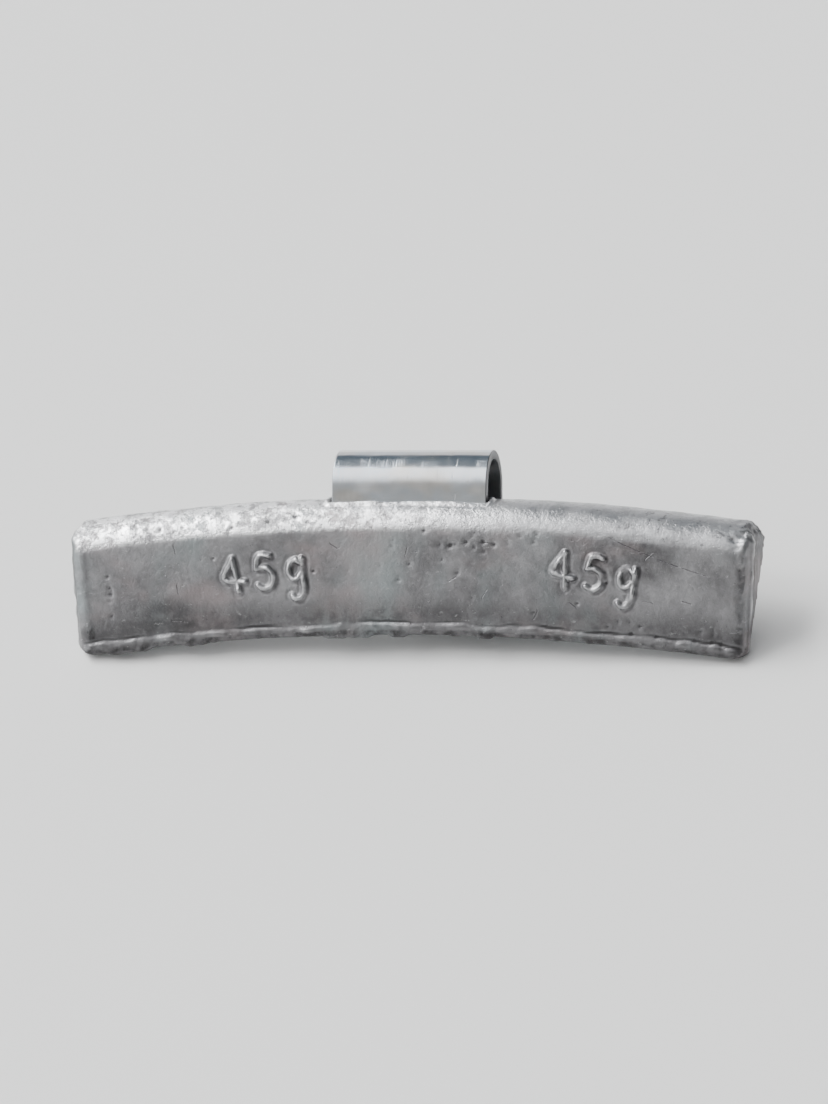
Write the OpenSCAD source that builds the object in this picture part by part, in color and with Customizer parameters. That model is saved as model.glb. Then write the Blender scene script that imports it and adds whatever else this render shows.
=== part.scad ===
// Clip-on wheel balance weight, 45 g: a curved lead bar, cast round the leg of a
// spring-steel clip. It lies as it comes to rest, leaning back on the tip of the clip:
// X runs along the bar, Y from the marked face to the back, Z is up, and the origin
// is on the ground under the middle of the whole weight.
//
// Both pieces are drawn in the wheel's own frame and laid down together afterwards:
// x along the bar, y into the depth from the marked face, and z outwards along the
// wheel's radius, from the middle of the crest.

/* [Bar] */
// Length of the marked face, at half its height
face_l = 73; // [50:1:90]
// Radius of the concave edge, which follows the wheel rim
edge_r = 256; // [180:2:300]
// Height of the flat face, from the concave edge to the crest rounding
face_h = 11.2; // [10:0.2:14]
// Height that the crest rounding adds above the flat face
crest_h = 3.0; // [2:0.1:3.6]
// Radius of the crest rounding, which meets the face at a soft crease
crest_r = 3.8; // [3.7:0.1:4.2]
// Thickness at the crest
crest_t = 6.0; // [5.6:0.1:7]
// Thickness at the concave edge
edge_t = 1.7; // [1.5:0.1:2.4]
// Radius of the back edge of the crest
back_r = 0.9; // [0.4:0.1:1.2]
// Bevel along the front of the concave edge
edge_bevel = 0.5; // [0.2:0.1:0.8]

/* [Ends of the bar] */
// Angle by which each end splays outwards, from the concave edge to the crest
end_splay = 3.4; // [0:0.1:8]
// Draft of each end, which widens the bar towards its back
end_draft = 11; // [2:0.5:14]
// Radius between the face and an end
end_r = 1.4; // [0.6:0.1:2]
// Radius of the two corners of the outline at the crest
crest_corner_r = 2.6; // [1:0.1:3.5]
// Radius of the two corners of the outline at the concave edge
edge_corner_r = 1.2; // [0.5:0.1:2]

/* [Clip] */
// Width of the steel strip
strip_w = 16.8; // [14:0.2:24]
// Thickness of the strip
strip_t = 1.0; // [0.8:0.05:1.2]
// Depth of the middle of the strip, where it leaves the crest
leg_y = 3.2; // [3:0.1:3.5]
// Length of the leg that is cast in, below the crest
leg_h = 9; // [7:0.2:10]
// Height of the hook above the crest
hook_h = 4.8; // [4.2:0.1:6]
// Gap for the lip of the rim, between the crest's back and the tail
lip_gap = 3.4; // [2.4:0.1:4.4]
// Slope of the tail towards the bar, which gives the clip its grip
tail_slope = 4; // [0:0.5:8]
// Length of the tail below the crest, as far as the flare
tail_h = 7; // [5:0.2:7.6]
// Inner radius of the flare at the tip of the tail
flare_r = 4; // [3:0.2:6]
// Angle through which the tip flares away from the bar
flare_a = 40; // [25:1:50]
// Radius of the two corners of the tip
tip_corner_r = 2.2; // [0.5:0.1:4]

/* [Locking holes] */
// Diameter of the holes in the leg, which the casting fills
lock_d = 3.2; // [2:0.1:3.8]
// Distance between the two holes
lock_pitch = 8.4; // [6:0.2:10]
// Distance of the holes below the crest
lock_drop = 4.6; // [3.5:0.1:5.5]

/* [Hidden] */
$fn = 96;
// Reach of the cutting blocks, past every side of the bar
far = 60;
// Flats that stand for the round hook, the flare and the rounded tip
hook_steps = 36;
flare_steps = 8;
tip_steps = 8;

bar_h = face_h + crest_h;
crest_top_r = edge_r + bar_h;
// Depth at which the crest rounding reaches its top
crest_y = sqrt(2 * crest_r * crest_h - crest_h * crest_h);
// Depth that the back loses for each millimetre below the crest
back_k = (crest_t - edge_t) / bar_h;
back_q = sqrt(1 + back_k * back_k);
// The leg slopes half as much as the back, so it stays in the middle of the wedge
leg_slope = atan(back_k) / 2;
// Angle that covers the whole bar, seen from the wheel's axis
sweep_a = 2 * asin((face_l / 2 + far / 4) / crest_top_r);

// Unit vector at an angle, taken anticlockwise from the first axis
function dir(a) = [cos(a), sin(a)];

// The clip's bends: one round hook, tangent to the leg and to the tail
tail_y = crest_t + lip_gap + strip_t / 2;
hook_m = (tail_y - leg_y + (hook_h - strip_t / 2) * (tan(tail_slope) - tan(leg_slope)))
    / (cos(leg_slope) - (1 - sin(leg_slope)) * tan(leg_slope) + tan(tail_slope) + 1 / cos(tail_slope));
hook_z = hook_h - strip_t / 2 - hook_m;
hook_y = leg_y + (hook_z + hook_m * sin(leg_slope)) * tan(leg_slope) + hook_m * cos(leg_slope);
hook_c = [hook_y, hook_z];
leg_top = hook_c - hook_m * [cos(leg_slope), -sin(leg_slope)];
leg_foot = [leg_y - leg_h * tan(leg_slope), -leg_h];
tail_top = hook_c + hook_m * [cos(tail_slope), -sin(tail_slope)];
tail_foot = [tail_y - tail_h * tan(tail_slope), -tail_h];
flare_m = flare_r + strip_t / 2;
flare_c = tail_foot + flare_m * [cos(tail_slope), -sin(tail_slope)];
flare_end = 180 - tail_slope + flare_a;
tip = flare_c + flare_m * dir(flare_end);

// The middle of each end of the bar, and the wheel's centre seen from there
end_z = -bar_h / 2;
hub_x = (-face_l / 2 * cos(end_splay) + (crest_top_r + end_z) * sin(end_splay)) * cos(end_draft);
hub_z = -face_l / 2 * sin(end_splay) - (crest_top_r + end_z) * cos(end_splay);
// Height of a circle beside the end, at distance d from the wheel's centre
function beside_end(r, d) = hub_z + sqrt(d * d - (hub_x + r) * (hub_x + r));
crest_corner_z = beside_end(crest_corner_r, crest_top_r - crest_corner_r);
edge_corner_z = beside_end(edge_corner_r, edge_r + edge_corner_r);

// Resting tilt: the bar touches the ground with the back of its two lower corners,
// and the clip with the round tip of its tail
corner_x = face_l / 2 - edge_corner_r * cos(end_splay) + edge_corner_z * sin(end_splay);
corner_z = end_z + edge_corner_z * cos(end_splay) + edge_corner_r * (sin(end_splay) - 1);
corner_y = crest_t - back_k * (crest_top_r - norm([corner_x, crest_top_r + corner_z]));
corner = [corner_y, corner_z];
reach = tip - corner;
lean = atan2(reach[0], reach[1]) + asin(strip_t / 2 / norm(reach));
// Height and depth of a point of the wheel frame once the weight lies down
function lain_z(p) = p[1] * sin(lean) - p[0] * cos(lean);
function lain_y(p) = p[1] * cos(lean) + p[0] * sin(lean);
ground_z = lain_z(corner);
front_y = lain_y([0, corner_z + edge_bevel]);
rear_y = lain_y(hook_c) + hook_m + strip_t / 2;

// A flat sector between two angles, wider than any cut
module sector(a1, a2) {
    steps = 4;
    polygon(concat([[0, 0]],
        [for (i = [0:steps]) far * dir(a1 + (a2 - a1) * i / steps)]));
}

// What a round of radius r removes from the corner between the directions a1 and a2
module round_off(c, r, a1, a2) {
    translate(c) difference() {
        sector(a1, a2);
        circle(r);
    }
}

// Cross-section of the bar: x is the distance from the wheel's axis, y the depth
module bar_section() {
    back_c = [crest_top_r - back_r, crest_t - back_k * back_r - back_q * back_r];
    difference() {
        polygon([
            [edge_r + edge_bevel, 0],
            [crest_top_r, 0],
            [crest_top_r, crest_t],
            [edge_r, edge_t],
            [edge_r, edge_bevel]
        ]);
        round_off([crest_top_r - crest_r, crest_y], crest_r, atan2(-crest_y, crest_r - crest_h), 0);
        round_off(back_c, back_r, 0, atan2(1, -back_k));
    }
}

// Everything that shapes one end of the bar: its plane, and the rounds on its edges
module end_cut() {
    // How far the round between face and end reaches back along the face
    end_in = end_r / tan(45 + end_draft / 2);
    translate([face_l / 2, 0, end_z]) rotate([0, end_splay, 0]) {
        linear_extrude(2 * far, center = true)
            round_off([-end_in, end_r], end_r, -90, -end_draft);
        rotate([0, 0, -end_draft]) {
            translate([0, -far / 2, -far / 2]) cube(far);
            rotate([90, 0, 0]) linear_extrude(2 * far, center = true) {
                round_off([-crest_corner_r, crest_corner_z], crest_corner_r,
                    0, 90 - asin((-crest_corner_r - hub_x) / (crest_top_r - crest_corner_r)));
                round_off([-edge_corner_r, edge_corner_z], edge_corner_r,
                    -90 - asin((-edge_corner_r - hub_x) / (edge_r + edge_corner_r)), 0);
            }
        }
    }
}

// The bar as it leaves the mould, with no room for the clip
module bar_form() {
    difference() {
        translate([0, 0, -crest_top_r]) rotate([-90, 0, 0]) rotate([0, 0, -90 - sweep_a / 2])
            rotate_extrude(angle = sweep_a) bar_section();
        end_cut();
        mirror([1, 0, 0]) end_cut();
    }
}

// Side view of the strip. Each station is a point of its middle line, with the way out
// of the hook there.
module clip_profile() {
    leg_out = [-cos(leg_slope), sin(leg_slope)];
    hook = [for (i = [0:hook_steps])
        let (a = 180 - leg_slope - (180 - leg_slope + tail_slope) * i / hook_steps)
        [hook_c + hook_m * dir(a), dir(a)]];
    flare = [for (i = [0:flare_steps])
        let (a = 180 - tail_slope + flare_a * i / flare_steps)
        [flare_c + flare_m * dir(a), -dir(a)]];
    stations = concat([[leg_foot, leg_out]], hook, flare);
    last = len(stations) - 1;
    polygon(concat(
        [for (s = stations) s[0] + s[1] * strip_t / 2],
        [for (i = [1:tip_steps - 1]) tip + dir(flare_end + 180 - 180 * i / tip_steps) * strip_t / 2],
        [for (i = [0:last]) stations[last - i][0] - stations[last - i][1] * strip_t / 2]
    ));
}

// The bent strip, with the tip's corners rounded and the two locking holes in the leg
module clip_form() {
    tip_z = tip[1] - strip_t / 2;
    difference() {
        rotate([90, 0, 90]) linear_extrude(strip_w, center = true) clip_profile();
        translate([0, hook_y + far, 0]) rotate([90, 0, 0]) linear_extrude(far)
            for (s = [0, 1]) mirror([s, 0])
                round_off([strip_w / 2 - tip_corner_r, tip_z + tip_corner_r], tip_corner_r, -90, 0);
        for (s = [-1, 1]) translate([s * lock_pitch / 2, leg_y - lock_drop * tan(leg_slope), -lock_drop])
            rotate([90 - leg_slope, 0, 0]) cylinder(d = lock_d, h = 2 * strip_t, center = true);
    }
}

// Lays a piece down on the ground, leaning back on the clip
module lain() {
    translate([0, -(front_y + rear_y) / 2, -ground_z]) rotate([lean - 90, 0, 0]) children();
}

// The lead bar, cast round the leg of the clip and through its holes
module cast_bar() {
    color([0.64, 0.65, 0.67]) lain() difference() {
        bar_form();
        clip_form();
    }
}

// The zinc-plated clip, bent from one strip of spring steel
module rim_clip() {
    color([0.74, 0.79, 0.84]) lain() clip_form();
}

cast_bar();
rim_clip();
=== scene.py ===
from math import cos, pi, radians, sin, tan

import bmesh
import bpy
import numpy as np
from mathutils import Matrix, Vector, noise


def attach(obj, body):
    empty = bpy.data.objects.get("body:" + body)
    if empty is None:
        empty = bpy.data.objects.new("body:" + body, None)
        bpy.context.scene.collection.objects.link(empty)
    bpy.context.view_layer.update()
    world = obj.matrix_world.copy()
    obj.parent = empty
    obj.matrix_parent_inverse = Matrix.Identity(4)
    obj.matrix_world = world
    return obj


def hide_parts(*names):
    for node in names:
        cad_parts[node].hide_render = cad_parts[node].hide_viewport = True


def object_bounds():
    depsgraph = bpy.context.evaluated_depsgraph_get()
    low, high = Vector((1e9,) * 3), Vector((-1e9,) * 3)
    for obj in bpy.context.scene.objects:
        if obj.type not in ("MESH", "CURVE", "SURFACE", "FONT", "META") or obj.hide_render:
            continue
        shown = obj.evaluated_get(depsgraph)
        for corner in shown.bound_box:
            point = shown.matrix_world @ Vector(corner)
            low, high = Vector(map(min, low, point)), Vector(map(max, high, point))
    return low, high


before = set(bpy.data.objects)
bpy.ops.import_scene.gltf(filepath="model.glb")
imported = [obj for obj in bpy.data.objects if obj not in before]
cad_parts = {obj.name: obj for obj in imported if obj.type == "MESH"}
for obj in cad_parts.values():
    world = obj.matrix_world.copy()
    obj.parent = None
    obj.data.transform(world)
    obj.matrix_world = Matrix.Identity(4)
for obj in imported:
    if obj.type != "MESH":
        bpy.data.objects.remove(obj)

cad_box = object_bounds()

# The weight is a curved bar of cast lead, poured in a two-part mould round the leg of its
# clip. It is drawn here in the wheel's own frame, in millimetres: x along the bar, y into
# its depth from the marked face, and z outwards along the wheel's radius from the crest.
mm = 0.001
half_face = 36.5
edge_r = 256
face_h = 11.2
crest_h = 3.0
bar_h = face_h + crest_h
crest_top_r = edge_r + bar_h
end_splay = radians(3.4)

# At rest the weight leans back by this angle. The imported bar, stood upright again, shows
# where the marked face and the top of the crest are.
lean = radians(55.073)
bar_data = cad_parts["cast_bar"].data
laid = Matrix.Rotation(lean - pi / 2, 4, "X")
upright = laid.inverted()
corners = [upright @ v.co for v in bar_data.vertices]
face_y = min(c.y for c in corners)
crest_z = max(c.z for c in corners)
to_world = laid @ Matrix.Translation((0, face_y, crest_z)) @ Matrix.Scale(mm, 4)

same_point = 1e-7
casting = bmesh.new()
casting.from_mesh(bar_data)
bmesh.ops.remove_doubles(casting, verts=casting.verts, dist=same_point)
casting.transform(to_world.inverted())

# Lead fills the room that the CAD bar leaves for the leg of the clip, so the skin closes
# round the steel as it does on the casting.
leg_y = 3.2
leg_slope = radians(8.42)
room_size = (17.2, 1.3, 9.25)
room_down = 4.72
room_middle = (0, leg_y - room_down * tan(leg_slope), -room_down)
room_turn = Matrix.Rotation(-leg_slope, 4, "X")
leg_room = Matrix.Translation(room_middle) @ room_turn @ Matrix.Diagonal((*room_size, 1))
bmesh.ops.create_cube(casting, size=1, matrix=leg_room)


def placed(name, data):
    """Puts a mesh, a light or a camera into the scene, and returns its object."""
    thing = bpy.data.objects.new(name, data)
    bpy.context.scene.collection.objects.link(thing)
    return thing


def baked(work, name):
    """Turns a working object with live modifiers into a plain mesh."""
    graph = bpy.context.evaluated_depsgraph_get()
    mesh = bpy.data.meshes.new_from_object(work.evaluated_get(graph))
    mesh.name = name
    bpy.data.objects.remove(work)
    return mesh


# The skin is a net of even cells over that form, with its edges softened as cast ones are.
rough_mesh = bpy.data.meshes.new("cast_form")
casting.to_mesh(rough_mesh)
casting.free()
rough_bar = placed("cast_form", rough_mesh)
skin = rough_bar.modifiers.new("skin", "REMESH")
skin.mode = "VOXEL"
skin.voxel_size = 0.21
soften = rough_bar.modifiers.new("soft edges", "SMOOTH")
soften.factor = 0.5
soften.iterations = 4
bar_mesh = baked(rough_bar, "lead_bar")

# The marks give the mass, 45 g, twice on the face: raised strokes, cut by hand in the mould.
# Each stroke is a line of points in millimetres, right and up from the mark's lower left.
mark_strokes = (
    ((1.3, 3.4), (0.75, 2.35), (0.15, 1.15), (1.2, 0.95), (2.6, 0.95)),
    ((1.3, 3.4), (1.6, 1.7), (1.95, -0.1)),
    ((5.35, 3.65), (4.7, 3.8), (4.0, 3.6), (3.95, 2.35)),
    ((3.95, 2.35), (4.8, 2.5), (5.6, 2.1), (5.85, 1.25), (5.4, 0.4), (4.7, 0.15), (4.1, 0.5)),
    ((8.8, 2.9), (8.2, 3.3), (7.55, 2.9), (7.4, 2.0), (7.75, 1.25), (8.4, 1.2), (8.85, 1.8)),
    ((8.95, 3.35), (9.0, 1.6), (9.1, 0.1), (8.8, -0.7), (8.2, -0.9), (7.75, -0.55)),
)
mark_places = (
    (Vector((-20.0, -9.5)), radians(0.5)),
    (Vector((15.4, -8.4)), radians(-12.5)),
)
mark_right = (-1.0, 10.2)
mark_up = (-2.0, 4.8)
stroke_half = 0.44
stroke_h = 0.42


def rounded(stroke):
    """The same stroke with its corners cut twice, as a hand tool runs through a bend."""
    for _ in range(2):
        cut = [stroke[0]]
        for start, end in zip(stroke, stroke[1:]):
            cut.append((0.75 * start[0] + 0.25 * end[0], 0.75 * start[1] + 0.25 * end[1]))
            cut.append((0.25 * start[0] + 0.75 * end[0], 0.25 * start[1] + 0.75 * end[1]))
        stroke = cut + [stroke[-1]]
    return stroke


def in_mark(origin, turn, x, z):
    """Right and up of a point of the face, seen from one mark's lower left."""
    right = (x - origin.x) * cos(turn) + (z - origin.y) * sin(turn)
    up = (z - origin.y) * cos(turn) - (x - origin.x) * sin(turn)
    return right, up


def under_mark(cell):
    """True for a cell on the front of the skin that one of the marks covers."""
    faces_front = cell.normal.y <= -0.8
    middle = cell.calc_center_median()
    for origin, turn in mark_places:
        right, up = in_mark(origin, turn, middle.x, middle.z)
        if faces_front and mark_right[0] < right < mark_right[1] and mark_up[0] < up < mark_up[1]:
            return True
    return False


# Each cell under a mark is cut in three both ways, fine enough to hold the strokes.
fine = bmesh.new()
fine.from_mesh(bar_mesh)
marked = [cell for cell in fine.faces if under_mark(cell)]
edges = list({edge for cell in marked for edge in cell.edges})
bmesh.ops.subdivide_edges(fine, edges=edges, cuts=2, use_grid_fill=True)
fine.to_mesh(bar_mesh)
fine.free()

# Every point of the skin, with the way it faces, its height above the crest's top (rise)
# and above the concave edge (edge_up), and its distance from the nearer end (inset).
count = len(bar_mesh.vertices)
spots = np.empty(count * 3)
bar_mesh.vertices.foreach_get("co", spots)
spots = spots.reshape(-1, 3)
facing = np.array([normal.vector[:] for normal in bar_mesh.vertex_normals])
x, depth, z = spots.T
rise = np.hypot(x, z + crest_top_r) - crest_top_r
edge_up = rise + bar_h
inset = half_face + (z + bar_h / 2) * np.tan(end_splay) - np.abs(x)


def cloud(size, seed, stretch=(1, 1, 1)):
    """Smooth random heights from about -1 to 1 over the bar, with swells of one size in mm
    that can be drawn out along x, y and z."""
    seed_apart = 13.7
    swells = spots / (size * np.array(stretch)) + seed * seed_apart
    return np.array([noise.noise(swell) for swell in swells])


def fade(values, start, end):
    """0 up to the start and 1 past the end, with a soft step between."""
    t = np.clip((values - start) / (end - start), 0, 1)
    return t * t * (3 - 2 * t)


def bell(values, middle, width):
    """1 at the middle, fading to 0 on both sides."""
    return np.exp(-(((values - middle) / width) ** 2))


front = fade(-facing[:, 1], 0.5, 0.85)
at_end = fade(np.abs(facing[:, 0]), 0.6, 0.9)
crest = fade(rise, -crest_h - 0.25, -crest_h + 0.35)

# Skin of the casting: long swells, and a crest hammered by the cooling, rougher on the left,
# with a shallow line where it meets the face. Each swell is its height, size and seed.
swell_sizes = ((0.06, 11, 1), (0.035, 4, 2), (0.008, 1.2, 3))
swell = sum(height * cloud(size, seed) for height, size, seed in swell_sizes)
grain_left = 0.052
grain_right = 0.015
grain_h = grain_left - (grain_left - grain_right) * fade(x, -8, 14)
hammered = crest * (0.05 * cloud(3.2, 4) + grain_h * cloud(1.2, 5))
crest_line = -0.03 * bell(rise, -crest_h + 0.2 * cloud(5, 6), 0.3) * front


def to_stroke(aside):
    """Distance of each point from the middle of the nearest stroke, seen from a step aside."""
    far_off = 9.0
    nearest = np.full(count, far_off)
    for origin, turn in mark_places:
        right, up = in_mark(origin, turn, x + aside[0], z + aside[1])
        for stroke in mark_strokes:
            bent = rounded(stroke)
            for start, end in zip(bent, bent[1:]):
                run = np.subtract(end, start)
                along = ((right - start[0]) * run[0] + (up - start[1]) * run[1]) / run.dot(run)
                along = np.clip(along, 0, 1)
                gap = np.hypot(right - start[0] - along * run[0], up - start[1] - along * run[1])
                nearest = np.minimum(nearest, gap)
    return nearest


# Raised strokes of the marks, thin in places where the mould didn't fill, in a shallow
# hollow, and with painted shade on their lower right side, away from the light.
hollow_deep = 0.05
toward_light = (-0.38, 0.3)
reach = to_stroke((0, 0))
# Painted shade: dark on the lower right of each stroke, where a step towards the light lands on a stroke.
painted_stroke_shade = front * (1 - fade(to_stroke(toward_light), 0.2, 0.5)) * fade(reach, 0.15, 0.4)
filled = np.clip(0.85 + 1.0 * cloud(1.3, 7), 0.2, 1.15)
marks = front * stroke_h * filled * (1 - fade(reach + 0.1 * cloud(0.6, 19), 0.03, stroke_half))
hollow = -hollow_deep * front * bell(reach, stroke_half + 0.12, 0.18)

# Parting line along the concave edge: the face dips to a thin crease, with a strip of flash
# under it that stands a little proud, ragged in places, on an uneven foot.
dip_deep = 0.16
crease_deep = 0.14
flash_h = 0.13
foot_h = 0.12
along_only = (1, 9, 9)
wave = 0.3 * cloud(6, 8, along_only) + 0.2 * cloud(1.7, 9, along_only)
crease_up = 1.35 + wave
dip = -dip_deep * front * bell(edge_up, crease_up + 0.3, 1.5) * (0.8 + 0.5 * cloud(9, 20, along_only))
pressed = np.clip(0.8 + 0.8 * cloud(3, 10, along_only), 0.2, 1.3)
crease = -crease_deep * front * bell(edge_up, crease_up, 0.2) * pressed
flash_body = front * bell(edge_up, crease_up - 0.42, 0.28)
ragged = 0.38 + 1.7 * cloud(2.6, 11, along_only) + 1.1 * cloud(0.9, 22, along_only)
ragged = np.clip(ragged, 0.0, 1.6)
foot = foot_h * front * cloud(0.8, 18) * (1 - fade(edge_up, 0.5, 1.2))
flash = flash_h * flash_body * ragged + foot

# Burrs hang from the foot here and there, where the flash was torn off, but not at the ends.
burr_h = 0.34
torn = 2.8 * cloud(2.6, 26, along_only) + 0.7 * cloud(0.9, 27, along_only) - 0.35
torn = np.clip(torn, 0, 1)
burr = burr_h * torn * (1 - fade(edge_up, 0.25, 0.7)) * bell(depth, 0.4, 0.35) * fade(inset, 1.5, 4)

# Parting line round both ends, the drawn lines that the mould left on the end faces, and
# their uneven edge with the face.
seam_h = 0.24
drawn_h = 0.1
rim_h = 0.16
drawn_down = (1, 1, 14)
seam_y = 1.7 + 0.12 * cloud(3, 12)
seam_line = at_end * bell(depth, seam_y, 0.2) * np.clip(0.75 + 0.8 * cloud(1.2, 13), 0, 1)
seam = seam_h * seam_line
drawn_lines = cloud(0.5, 14, drawn_down)
drawn = at_end * drawn_h * drawn_lines
rim = bell(inset, 0.35, 0.45) * (1 - at_end) * rim_h * (cloud(1.0, 23) + 0.6 * cloud(0.5, 24))

# A thin lip of lead drawn up round the slot that the clip's leg fills, with a dark gap
# behind it where the lead shrank from the steel, and a slight dip before it.
strip_w = 16.8
slot_t = 1.0
lip_h = 0.24
gap_deep = 0.5
lip_dip = 0.08
out_x = np.maximum(np.abs(x) - strip_w / 2, 0)
out_y = np.maximum(np.abs(depth - (leg_y + z * np.tan(leg_slope))) - slot_t / 2, 0)
from_clip = np.hypot(out_x, out_y)
on_top = fade(rise, -1.2, -0.5)
lip_body = on_top * bell(from_clip, 0.5, 0.18)
lip = lip_h * lip_body * np.clip(0.5 + 1.6 * cloud(2.4, 15), 0, 1)
shrunk = -gap_deep * on_top * (1 - fade(from_clip, 0.05, 0.36))
below_lip = -lip_dip * on_top * bell(from_clip, 0.95, 0.2)

# Pits, where gas came out of the melt, in patches: their number, their ranges along the
# bar and in height from the crest's top, and the range of their radius.
pit_patches = (
    (12, (-33.2, -32.0), (-11.5, -4.8), (0.15, 0.26)),
    (14, (2, 17), (-4.8, -3.0), (0.16, 0.32)),
    (14, (20, 34), (-13.2, -11.0), (0.15, 0.28)),
    (10, (-30, -8), (-2.6, -0.6), (0.16, 0.28)),
    (10, (-12, 14), (-12.5, -4), (0.14, 0.26)),
    (20, (-36, 36), (-13, -0.5), (0.13, 0.24)),
)
depth_by_radius = 0.6
rng = np.random.default_rng(45)
pits = np.zeros(count)
for number, x_range, rise_range, radius_range in pit_patches:
    for _ in range(number):
        pit_x = rng.uniform(*x_range)
        pit_rise = rng.uniform(*rise_range)
        radius = rng.uniform(*radius_range)
        from_pit = np.hypot(x - pit_x, rise - pit_rise)
        pits = np.minimum(pits, -depth_by_radius * radius * np.exp(-((from_pit / radius) ** 2)))
pits *= fade(-facing[:, 1], 0.0, 0.4)

# Knocks on the two corners of the crest, worst on the right.
knock_right = 0.32
knock_left = 0.12
blows = cloud(1.4, 16) + 0.6 * cloud(0.65, 17) - 0.3
knock = fade(rise, -6, -1.5) * (1 - fade(inset, 0.3, 2.6))
knock *= np.where(x > 0, knock_right, knock_left) * blows

relief = marks + hollow + crease + flash + seam + lip + shrunk + below_lip + pits
heights = swell + hammered + crest_line + dip + relief + burr + drawn + rim + knock

# What the material reads at each point: the relief, the crest, the painted shade by the
# strokes, the metal that rubs bright, a darkening along the concave edge, by the left end and
# on the ends, with painted shadow on the lowest edge. It is worked out before the points move,
# because the clouds are read at the points.
# Painted shadow on the lowest edge, where the bar meets the floor.
painted_contact_shade = (1 - fade(edge_up, 0.3, 0.8)) * fade(-facing[:, 1], -0.6, 0.2)
by_left = 0.8 * bell(inset, 1.5, 0.3) * (x < 0) * np.clip(0.5 + 1.2 * cloud(2.2, 25), 0, 1)
shades = {
    "relief": relief + 0.4 * hammered,
    "crest": crest * fade(inset, -0.2, 1.2),
    "stroke_shade": painted_stroke_shade * np.clip(0.6 + 0.8 * cloud(1.1, 21), 0, 1),
    "rubbed": np.clip(0.1 * flash_body * ragged + seam_line + 0.2 * lip_body, 0, 1),
    "near_edge": np.clip(front * (bell(edge_up, 2.0, 1.9) + by_left) + 1.3 * painted_contact_shade, 0, 1.5),
    "end": at_end * (1 - 0.8 * seam_line) * np.clip(0.7 + 0.9 * drawn_lines, 0, 1),
}

# The points move out by their heights, then lie down, and stay just inside the CAD's box.
just_inside = 1e-6
spots += facing * heights[:, None]
spots = spots @ np.array(to_world.to_3x3()).T + np.array(to_world.translation)
low, high = np.array(cad_box[0]), np.array(cad_box[1])
spots = np.clip(spots, low + just_inside, high - just_inside)
bar_mesh.vertices.foreach_set("co", spots.ravel())
bar_mesh.update()
bar_mesh.shade_smooth()


def keep(mesh, name, values):
    """Stores one number for each point of a mesh, for its material to read."""
    layer = mesh.attributes.new(name, "FLOAT", "POINT")
    layer.data.foreach_set("value", np.ascontiguousarray(values, dtype=np.float32))


for name, values in shades.items():
    keep(bar_mesh, name, values)
lead_bar = placed("lead_bar", bar_mesh)


class Wire:
    """A socket of a node tree that takes part in sums: each operator adds its Math node."""

    def __init__(self, tree, socket=None):
        self.tree = tree
        self.socket = socket

    def node(self, kind, settings=None, values=None, out=0):
        """Adds any node: its settings first, then values or wires on its sockets."""
        made = self.tree.nodes.new(kind)
        for name, value in (settings or {}).items():
            setattr(made, name, value)
        for name, value in (values or {}).items():
            if isinstance(value, Wire):
                self.tree.links.new(value.socket, made.inputs[name])
            else:
                made.inputs[name].default_value = value
        return Wire(self.tree, made.outputs[out] if len(made.outputs) else None)

    def maths(self, operation, *others):
        """A Math node with this wire on its first socket."""
        return self.node("ShaderNodeMath", {"operation": operation}, dict(enumerate((self, *others))))

    def vector_maths(self, operation, *others):
        """A Vector Math node with this wire on its first socket."""
        values = dict(enumerate((self, *others)))
        return self.node("ShaderNodeVectorMath", {"operation": operation}, values)

    def __add__(self, other):
        return self.maths("ADD", other)

    def __sub__(self, other):
        return self.maths("SUBTRACT", other)

    def __rsub__(self, other):
        return self.node("ShaderNodeMath", {"operation": "SUBTRACT"}, {0: other, 1: self})

    def __mul__(self, other):
        return self.maths("MULTIPLY", other)

    def __truediv__(self, other):
        return self.maths("DIVIDE", other)

    def __abs__(self):
        return self.maths("ABSOLUTE")

    __radd__ = __add__
    __rmul__ = __mul__

    def part(self, axis):
        """One of the three numbers of a point, a direction or a colour."""
        return self.node("ShaderNodeSeparateXYZ", None, {0: self}, out=axis)

    def step(self, start, end):
        """0 up to the start and 1 past the end, or the other way round, with a soft step."""
        values = {"Value": self, "From Min": start, "From Max": end}
        return self.node("ShaderNodeMapRange", {"interpolation_type": "SMOOTHSTEP"}, values)

    def mix(self, low, high):
        """A colour between two, by this wire."""
        values = {0: self, 6: low, 7: high}
        return self.node("ShaderNodeMix", {"data_type": "RGBA"}, values, out=2)

    def grain(self, size, detail=2.0, roughness=0.5, stretch=(1, 1, 1)):
        """Random shade from 0 to 1 at this point, with patches of one size in mm."""
        spot = self
        if stretch != (1, 1, 1):
            spot = self.vector_maths("MULTIPLY", tuple(1 / s for s in stretch))
        values = {"Vector": spot, "Scale": 1 / size, "Detail": detail, "Roughness": roughness}
        return self.node("ShaderNodeTexNoise", None, values)

    def attribute(self, name):
        """What the mesh keeps under a name."""
        return self.node("ShaderNodeAttribute", {"attribute_name": name}, out=2)


def new_material(name):
    """A new material, its shader, a wire to start from, and the point in the wheel's frame in mm."""
    material = bpy.data.materials.new(name)
    material.use_nodes = True
    tree = material.node_tree
    start = Wire(tree)
    values = {
        "Vector": start.node("ShaderNodeTexCoord", out="Object"),
        "Location": (0, -face_y / mm, -crest_z / mm),
        "Rotation": (pi / 2 - lean, 0, 0),
        "Scale": (1 / mm, 1 / mm, 1 / mm),
    }
    return material, tree.nodes["Principled BSDF"], start, start.node("ShaderNodeMapping", None, values)


def coated(colour, coats):
    """A colour under a row of coats, each of them how much it covers and its own colour."""
    for cover, tone in coats:
        colour = cover.mix(colour, tone)
    return colour


def feed(shader, **wires):
    """Links wires to the shader's sockets, named with _ for each space."""
    for name, wire in wires.items():
        socket = shader.inputs[name.replace("_", " ")]
        wire.tree.links.new(wire.socket, socket)


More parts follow.
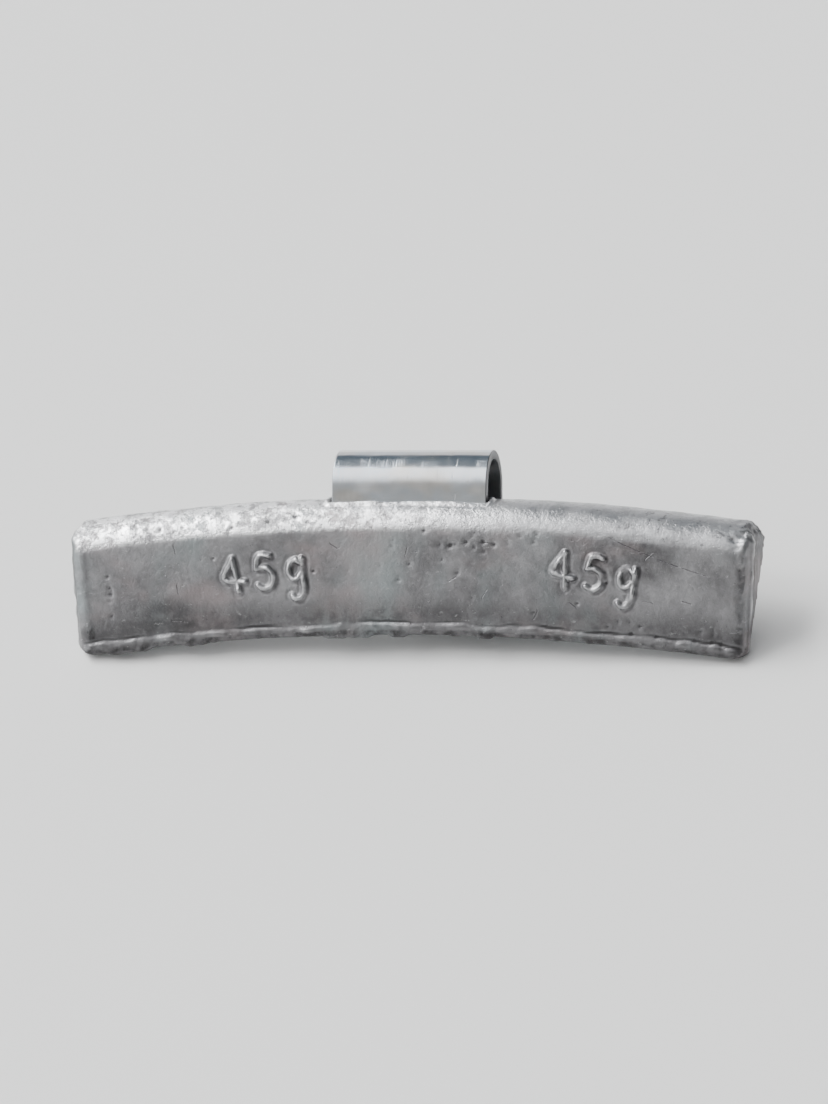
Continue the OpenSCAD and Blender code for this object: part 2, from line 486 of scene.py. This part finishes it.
def blot(across, up, middle, size):
    """1 in the middle of a soft oval patch and 0 outside it."""
    right = (across - middle[0]) / size[0]
    high = (up - middle[1]) / size[1]
    return (right * right + high * high).step(1, 0.1)


def scratch(across, up, centre, radius, run, width):
    """1 on a thin arc that is drawn between two places along the bar, and 0 off it."""
    right = across - centre[0]
    high = up - centre[1]
    off = abs((right * right + high * high).maths("SQRT") - radius)
    return off.step(width, width * 0.3) * across.step(run[0], run[0] + 1) * across.step(run[1], run[1] - 1)


def ticks(across, up, cell, length, width, share):
    """1 on short scratches that lie every way, one in some cells of the face, and 0 off them."""
    whole_turn = 6.3
    bend = 0.15
    flat = across.node("ShaderNodeCombineXYZ", None, {0: across, 1: up})
    cells = {"Vector": flat, "Scale": 1 / cell}
    chance = flat.node("ShaderNodeTexVoronoi", {"voronoi_dimensions": "2D"}, cells, out=1)
    middle = flat.node("ShaderNodeTexVoronoi", {"voronoi_dimensions": "2D"}, cells, out=2)
    right = across - middle.part(0)
    high = up - middle.part(1)
    turn = whole_turn * chance.part(1)
    cosine = turn.maths("COSINE")
    sine = turn.maths("SINE")
    run = abs(right * cosine + high * sine).step(length, length * 0.6)
    off = abs(high * cosine - right * sine + bend * run).step(width, width * 0.2)
    return run * off * chance.part(0).step(share, share - 0.02)


# The lead's finish: dull grey with warm and cool patches, painted shade in what lies deep,
# darkening along the edges, and metal rubbed bright on the crest, the strokes and the flash.
# The crest is rubbed bright; its left half is frosted with crystals and painted white as a
# highlight, and the right half is greyer and even.
lead, shader, start, point = new_material("cast_lead")
shader.inputs["Metallic"].default_value = 0.92
dull_grey = (0.16, 0.158, 0.165, 1)
clean_grey = (0.34, 0.34, 0.348, 1)
warm_grey = (0.36, 0.30, 0.30, 1)
cool_grey = (0.30, 0.355, 0.36, 1)
bright_lead = (0.74, 0.745, 0.755, 1)
# A white for the painted highlight on the crest's left half.
crest_highlight_white = (0.95, 0.955, 0.97, 1)
soft_lead = (0.44, 0.445, 0.457, 1)
# A dark for smudges, stains, specks and scratches, and for painted shade.
grime_and_shade = (0.05, 0.048, 0.05, 1)

relief_mm = start.attribute("relief")
on_crest = start.attribute("crest")
off_crest = 1 - on_crest
across = point.part(0)
up = point.part(2)
to_right = across.step(-9, 16)

patches = point.grain(7, 5, 0.55).step(0.32, 0.68)
mottle = point.grain(1.5, 4, 0.66).step(0.34, 0.66)
fine_tone = point.grain(0.45, 3, 0.7).step(0.3, 0.7)
warmth = point.grain(9, 3, 0.6, (1.3, 1, 0.8)).step(0.5, 0.7)
coolness = point.grain(12, 3, 0.6, (0.8, 1, 1.6)).step(0.5, 0.7)
specks = point.grain(0.4, 2, 0.6).step(0.66, 0.76)
frost = point.grain(1.5, 5, 0.78).step(0.39, 0.57)
scuffed = point.grain(0.7, 4, 0.75, (1.6, 1, 0.8)).step(0.6, 0.72)
stained = on_crest * point.grain(1.0, 4, 0.75).step(0.55, 0.68) * point.grain(5, 2, 0.5).step(0.4, 0.6)

smudges = blot(across, up, middle=(-26, -12.4), size=(7, 2.8))
smudges = smudges + blot(across, up, middle=(24.5, -6.2), size=(6.5, 3.0))
smudges = smudges + 0.6 * blot(across, up, middle=(5, -5.6), size=(7, 2.4))
smudges = smudges * point.grain(2.4, 4, 0.65).step(0.3, 0.62)
scratches = scratch(across, up, centre=(49.0, 50.3), radius=60.4, run=(21.5, 33), width=0.09)
scratches = scratches + ticks(across, up, cell=4.2, length=0.7, width=0.1, share=0.35)
scratches = scratches * point.grain(0.7, 3, 0.6).step(0.3, 0.55) * off_crest

evened = 0.06 + 0.44 * to_right
rubbed = on_crest * (evened + (1 - evened) * frost)
proud = relief_mm.step(0.08, 0.36) * off_crest * 0.6 + start.attribute("rubbed") * (0.4 + 0.5 * mottle)
# Painted shade in what lies deep.
painted_hollow_shade = relief_mm.step(-0.03, -0.16)
face_tone = patches * 0.45 + mottle * 0.33 + fine_tone * 0.22
lead_coats = (
    (warmth * 0.5, warm_grey),
    (coolness * 0.5, cool_grey),
    (smudges * 0.55, grime_and_shade),
    # Darker along the concave edge and by the left end, with painted shadow on the lowest edge.
    (start.attribute("near_edge") * (0.34 + 0.36 * mottle), grime_and_shade),
    (start.attribute("end") * 0.5, grime_and_shade),
    (scuffed * 0.28 * off_crest, bright_lead),
    # Rubbed metal on the crest, painted white as a highlight on its left half.
    (rubbed, to_right.mix(crest_highlight_white, soft_lead)),
    (stained * 0.6, grime_and_shade),
    (proud * 0.7, bright_lead),
    # Painted shade in the hollows and on the lower right of the strokes.
    (painted_hollow_shade * 0.85 + start.attribute("stroke_shade") * 0.6, grime_and_shade),
    (specks * 0.5 + scratches * 0.7, grime_and_shade),
)
colour = coated(face_tone.mix(dull_grey, clean_grey), lead_coats)
roughness = 0.42 + 0.12 * patches - 0.14 * rubbed - 0.1 * proud + 0.25 * painted_hollow_shade
surface = 0.2 * fine_tone + 0.3 * mottle + frost * on_crest * (1 - to_right) - 0.6 * specks - scratches
bump = start.node("ShaderNodeBump", None, {"Strength": 0.5, "Distance": 0.12 * mm, "Height": surface})
feed(shader, Base_Color=colour, Roughness=roughness, Normal=bump)
bar_mesh.materials.append(lead)
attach(lead_bar, "root")
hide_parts("cast_bar")

# The clip is one strip of spring steel, blanked with round tip corners, bent over a round
# hook and flared at the tip, then plated with bright zinc. Its leg is cast into the bar.
# It is drawn a hair thinner and lower than the CAD's, to stay inside its box.
strip_t = 0.98
leg_h = 9
hook_h = 4.79
lip_gap = 3.4
crest_t = 6.0
tail_slope = radians(4)
tail_h = 7
flare_r = 4
flare_a = radians(40)
tip_corner_r = 2.2
edge_round = 0.12
path_step = 0.2
leg_steps = 40
tail_steps = 30
tip_steps = 5


def away(angle):
    """Unit vector in the side view, from y towards z."""
    return np.array((cos(angle), sin(angle)))


def arc(centre, radius, start, end):
    """Points along an arc of the side view, one for each path step."""
    steps = max(2, round(abs(end - start) * radius / path_step))
    return [centre + radius * away(start + (end - start) * i / steps) for i in range(steps + 1)]


# The hook is one round, tangent to the sloping leg and to the tail.
tail_y = crest_t + lip_gap + strip_t / 2
rise_to_hook = hook_h - strip_t / 2
hook_r = (tail_y - leg_y + rise_to_hook * (tan(tail_slope) - tan(leg_slope))) / (
    cos(leg_slope) - (1 - sin(leg_slope)) * tan(leg_slope) + tan(tail_slope) + 1 / cos(tail_slope)
)
hook_z = rise_to_hook - hook_r
hook_y = leg_y + (hook_z + hook_r * sin(leg_slope)) * tan(leg_slope) + hook_r * cos(leg_slope)
hook_c = np.array((hook_y, hook_z))
leg_foot = np.array((leg_y - leg_h * tan(leg_slope), -leg_h))
tail_foot = np.array((tail_y - tail_h * tan(tail_slope), -tail_h))
flare_m = flare_r + strip_t / 2
flare_c = tail_foot + flare_m * away(-tail_slope)
flare_end = pi - tail_slope + flare_a

# The middle line of the strip in the side view, from the foot of the leg to the tip, whose
# last points crowd together for the round of its end.
hook = arc(hook_c, hook_r, pi - leg_slope, -tail_slope)
flare = arc(flare_c, flare_m, pi - tail_slope, flare_end)
leg = [leg_foot + (hook[0] - leg_foot) * i / leg_steps for i in range(leg_steps)]
tail = [hook[-1] + (flare[0] - hook[-1]) * i / tail_steps for i in range(1, tail_steps)]
tip_way = away(flare_end + pi / 2)
tip_reach = [strip_t / 2 * sin(pi / 2 * i / tip_steps) for i in range(1, tip_steps + 1)]
tip_end = [flare[-1] + tip_way * reach for reach in tip_reach]
middle_line = leg + hook + tail + flare + tip_end

path_mesh = bpy.data.meshes.new("strip_path")
path_points = [(0, y, z) for y, z in middle_line]
path_edges = [(i, i + 1) for i in range(len(path_points) - 1)]
path_mesh.from_pydata(path_points, path_edges, [])
strip_path = placed("strip_path", path_mesh)

# The tree sweeps a flat section along that line, then draws it in towards the line where it
# nears the tip: sideways for the tip's round corners, and in thickness for its round end.
strip_tree = bpy.data.node_groups.new("bent_strip", "GeometryNodeTree")
strip_tree.interface.new_socket("Geometry", in_out="INPUT", socket_type="NodeSocketGeometry")
strip_tree.interface.new_socket("Geometry", in_out="OUTPUT", socket_type="NodeSocketGeometry")
strip_inputs = {
    "Strip width": strip_w,
    "Strip thickness": strip_t,
    "Tip corner radius": tip_corner_r,
}
for name in strip_inputs:
    strip_tree.interface.new_socket(name, in_out="INPUT", socket_type="NodeSocketFloat")
strip_tree.interface.new_socket("Plating", in_out="INPUT", socket_type="NodeSocketMaterial")
entry = strip_tree.nodes.new("NodeGroupInput")
given = {socket.name: Wire(strip_tree, socket) for socket in entry.outputs if socket.name}
made = Wire(strip_tree)
width, thickness, corner_r = (given[name] for name in strip_inputs)


def stored(geometry, name, value, data_type):
    """Keeps a value on each point of the path, to be read on the swept strip."""
    settings = {"data_type": data_type, "domain": "POINT"}
    values = {"Geometry": geometry, "Name": name, "Value": value}
    return made.node("GeometryNodeStoreNamedAttribute", settings, values)


def named(name, data_type):
    """Reads a value that the path kept."""
    return made.node("GeometryNodeInputNamedAttribute", {"data_type": data_type}, {"Name": name})


line = made.node("GeometryNodeMeshToCurve", None, {"Mesh": given["Geometry"]})
full_run = made.node("GeometryNodeSplineLength", None, None, out="Length")
run_here = made.node("GeometryNodeSplineParameter", None, None, out="Length")
centre_here = made.node("GeometryNodeInputPosition")
line = stored(line, "to_tip", full_run - run_here, "FLOAT")
line = stored(line, "centre", centre_here, "FLOAT_VECTOR")
section_size = {"Width": width, "Height": thickness}
section = made.node("GeometryNodeCurvePrimitiveQuadrilateral", {"mode": "RECTANGLE"}, section_size)
sweep = {"Curve": line, "Profile Curve": section, "Fill Caps": True}
swept = made.node("GeometryNodeCurveToMesh", None, sweep)

# A hair of the thickness is left at the very tip, so that its last ring stays open.
hair = 0.001
to_tip = named("to_tip", "FLOAT")
in_corner = (1 - to_tip / corner_r).maths("MAXIMUM", 0)
corner_in = corner_r * (1 - (1 - in_corner * in_corner).maths("SQRT"))
width_left = 1 - corner_in / (width * 0.5)
in_end = (1 - to_tip / (thickness * 0.5)).maths("MAXIMUM", 0)
thickness_left = (1 + hair - in_end * in_end).maths("SQRT")
shape = made.node("ShaderNodeCombineXYZ", None, {0: width_left, 1: thickness_left, 2: thickness_left})
centre = named("centre", "FLOAT_VECTOR")
outwards = centre_here.vector_maths("SUBTRACT", centre).vector_maths("MULTIPLY", shape)
shaped_place = centre.vector_maths("ADD", outwards)
strip = made.node("GeometryNodeSetPosition", None, {"Geometry": swept, "Position": shaped_place})
strip = made.node("GeometryNodeRealizeInstances", None, {"Geometry": strip})
strip = made.node("GeometryNodeSetMaterial", None, {"Geometry": strip, "Material": given["Plating"]})
made.node("NodeGroupOutput", None, {"Geometry": strip})

zinc, shader, start, point = new_material("bright_zinc")
bend = strip_path.modifiers.new("bend", "NODES")
bend.node_group = strip_tree
for item in strip_tree.interface.items_tree:
    if item.in_out == "INPUT" and item.name in strip_inputs:
        bend[item.identifier] = float(strip_inputs[item.name])
    if item.in_out == "INPUT" and item.name == "Plating":
        bend[item.identifier] = zinc
clip_mesh = baked(strip_path, "spring_clip")
touching = 1e-4
outward = bmesh.new()
outward.from_mesh(clip_mesh)
bmesh.ops.remove_doubles(outward, verts=outward.verts, dist=touching)
bmesh.ops.recalc_face_normals(outward, faces=outward.faces)
outward.to_mesh(clip_mesh)
outward.free()

# The inside of the hook is painted dark as shade, and left unpolished.
from_hook = np.array([(v.co.y - hook_y, v.co.z - hook_z) for v in clip_mesh.vertices])
keep(clip_mesh, "inner", np.hypot(*from_hook.T) < hook_r)
clip_mesh.transform(to_world)
clip_mesh.shade_smooth()
spring_clip = placed("spring_clip", clip_mesh)
edge = spring_clip.modifiers.new("sheared edges", "BEVEL")
edge.width = edge_round * mm
edge.segments = 3
edge.limit_method = "ANGLE"
edge.angle_limit = radians(40)
edge.harden_normals = True

# The zinc's finish: cool and bright, with streaks along the bends and a few scuffs. The sheared
# edges are painted dark, as bare steel and as shade.
shader.inputs["Metallic"].default_value = 1.0
zinc_pale = (0.72, 0.75, 0.78, 1)
zinc_blue = (0.55, 0.62, 0.70, 1)
zinc_warm = (0.70, 0.69, 0.67, 1)
worn_steel = (0.30, 0.30, 0.31, 1)
# Dark steel, for the bare cut edges and for painted shade.
steel_and_shade = (0.10, 0.10, 0.105, 1)
streaks = point.grain(0.16, 3, 0.6, (1, 60, 60)).step(0.3, 0.7)
cloudy = point.grain(3.0, 3, 0.55).step(0.35, 0.7)
scuffs = point.grain(0.4, 3, 0.7, (1, 5, 5)).step(0.62, 0.74)
cut_edge = abs(point.part(0)).step(strip_w / 2 - 0.14, strip_w / 2 - 0.02)
# The hook's inside, painted dark as shade.
hook_inside_shade = start.attribute("inner")
zinc_coats = (
    (point.grain(4.5, 3, 0.5, (1.6, 1, 1)).step(0.48, 0.68), zinc_warm),
    (scuffs * 0.35, worn_steel),
    # Painted shade with bare steel on the cut edges, and painted shade inside the hook.
    (cut_edge * 0.9, steel_and_shade),
    (hook_inside_shade * 0.75, steel_and_shade),
)
plate = coated((cloudy * 0.6 + streaks * 0.2).mix(zinc_pale, zinc_blue), zinc_coats)
gloss = 0.12 + 0.04 * streaks + 0.06 * cloudy + 0.15 * scuffs + 0.25 * cut_edge + 0.2 * hook_inside_shade
waviness = 34 * point.grain(5, 2, 0.5)
surface = 0.6 * streaks + 0.5 * point.grain(0.5, 3, 0.6) - 0.5 * scuffs + waviness
bump = start.node("ShaderNodeBump", None, {"Strength": 0.15, "Distance": 0.03 * mm, "Height": surface})
feed(shader, Base_Color=plate, Roughness=gloss, Normal=bump)
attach(spring_clip, "root")
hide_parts("rim_clip")

# The floor is one flat sheet of pale paper, far wider than the weight that lies on it. It
# belongs to the studio and not to the weight.
floor_half = 3
floor_sides = ((-1, -1), (1, -1), (1, 1), (-1, 1))
floor_mesh = bpy.data.meshes.new("studio_floor")
floor_corners = [(side * floor_half, end * floor_half, 0) for side, end in floor_sides]
floor_mesh.from_pydata(floor_corners, [], [(0, 1, 2, 3)])
floor = placed("studio_floor", floor_mesh)
paper, shader, start, point = new_material("pale_paper")
shader.inputs["Roughness"].default_value = 0.85
shader.inputs["Base Color"].default_value = (0.78, 0.785, 0.78, 1)
floor_mesh.materials.append(paper)

# The room is what the metal reflects: a grey wall round it under a ceiling that is brighter
# on the left, a pale strip low behind with dark above it, a dark right side, a pale left
# side, and a bright window high behind on the left, whose light glints on the crest.
world = bpy.data.worlds.new("studio_room")
bpy.context.scene.world = world
world.use_nodes = True
way = Wire(world.node_tree).node("ShaderNodeTexCoord", out="Generated")
wide = way.part(0)
deep = way.part(1)
height = way.part(2)
wall_grey = (0.46, 0.455, 0.44, 1)
ceiling = wide.step(-0.05, -0.26).mix((1.25, 1.25, 1.27, 1), (2.6, 2.6, 2.62, 1))
window = wide.step(-0.33, -0.43) * wide.step(-0.85, -0.75) * deep.step(0.02, 0.2) * height.step(0.55, 0.72)
room_coats = (
    (deep.step(0.3, 0.6) * height.step(0.46, 0.34), (1.1, 1.1, 1.12, 1)),
    (deep.step(0.1, 0.3) * height.step(0.34, 0.46), (0.12, 0.15, 0.18, 1)),
    (wide.step(0.1, 0.45) * height.step(0.85, 0.6), (0.05, 0.055, 0.06, 1)),
    (wide.step(-0.4, -0.6), (1.8, 1.8, 1.82, 1)),
    (window, (20.0, 20.0, 19.9, 1)),
)
room_colour = coated(height.step(0.68, 0.98).mix(wall_grey, ceiling), room_coats)
backdrop = world.node_tree.nodes["Background"]
world.node_tree.links.new(room_colour.socket, backdrop.inputs["Color"])
backdrop.inputs["Strength"].default_value = 1.0

# One soft box stands above the weight on the left and casts its shadow to the right. All
# other light comes from the room.
key_place = Vector((-0.385, -0.08, 0.48))
key_aim = Vector((0, 0, 0.007))
key_light = bpy.data.lights.new("key_box", "AREA")
key_light.shape = "RECTANGLE"
key_light.size = 0.2
key_light.size_y = 0.3
key_light.energy = 1.4
key_light.color = (1.0, 0.995, 0.99)
key_box = placed("key_box", key_light)
key_box.location = key_place
key_box.rotation_mode = "QUATERNION"
key_box.rotation_quaternion = (key_aim - key_place).to_track_quat("-Z", "Y")

# The camera looks at the weight as the photograph does, but from a little farther off, so
# that its ends look as tall as there, and is rolled until the bar lies level.
view_azimuth = radians(18.6)
view_elevation = radians(39.8)
view_distance = 0.6
view_roll = radians(12)
aim_point = Vector((0.0, 0.0, 0.0072))
camera_data = bpy.data.cameras.new("camera")
camera_data.lens = 185
camera_data.sensor_width = 36
camera_data.clip_start = 0.01
camera_data.clip_end = 10
camera = placed("camera", camera_data)
back = Vector((
    sin(view_azimuth) * cos(view_elevation),
    -cos(view_azimuth) * cos(view_elevation),
    sin(view_elevation),
))
straight = (-back).to_track_quat("-Z", "Y")
camera.location = aim_point + back * view_distance
camera.rotation_mode = "QUATERNION"
camera.rotation_quaternion = straight @ Matrix.Rotation(-view_roll, 3, "Z").to_quaternion()
bpy.context.scene.camera = camera
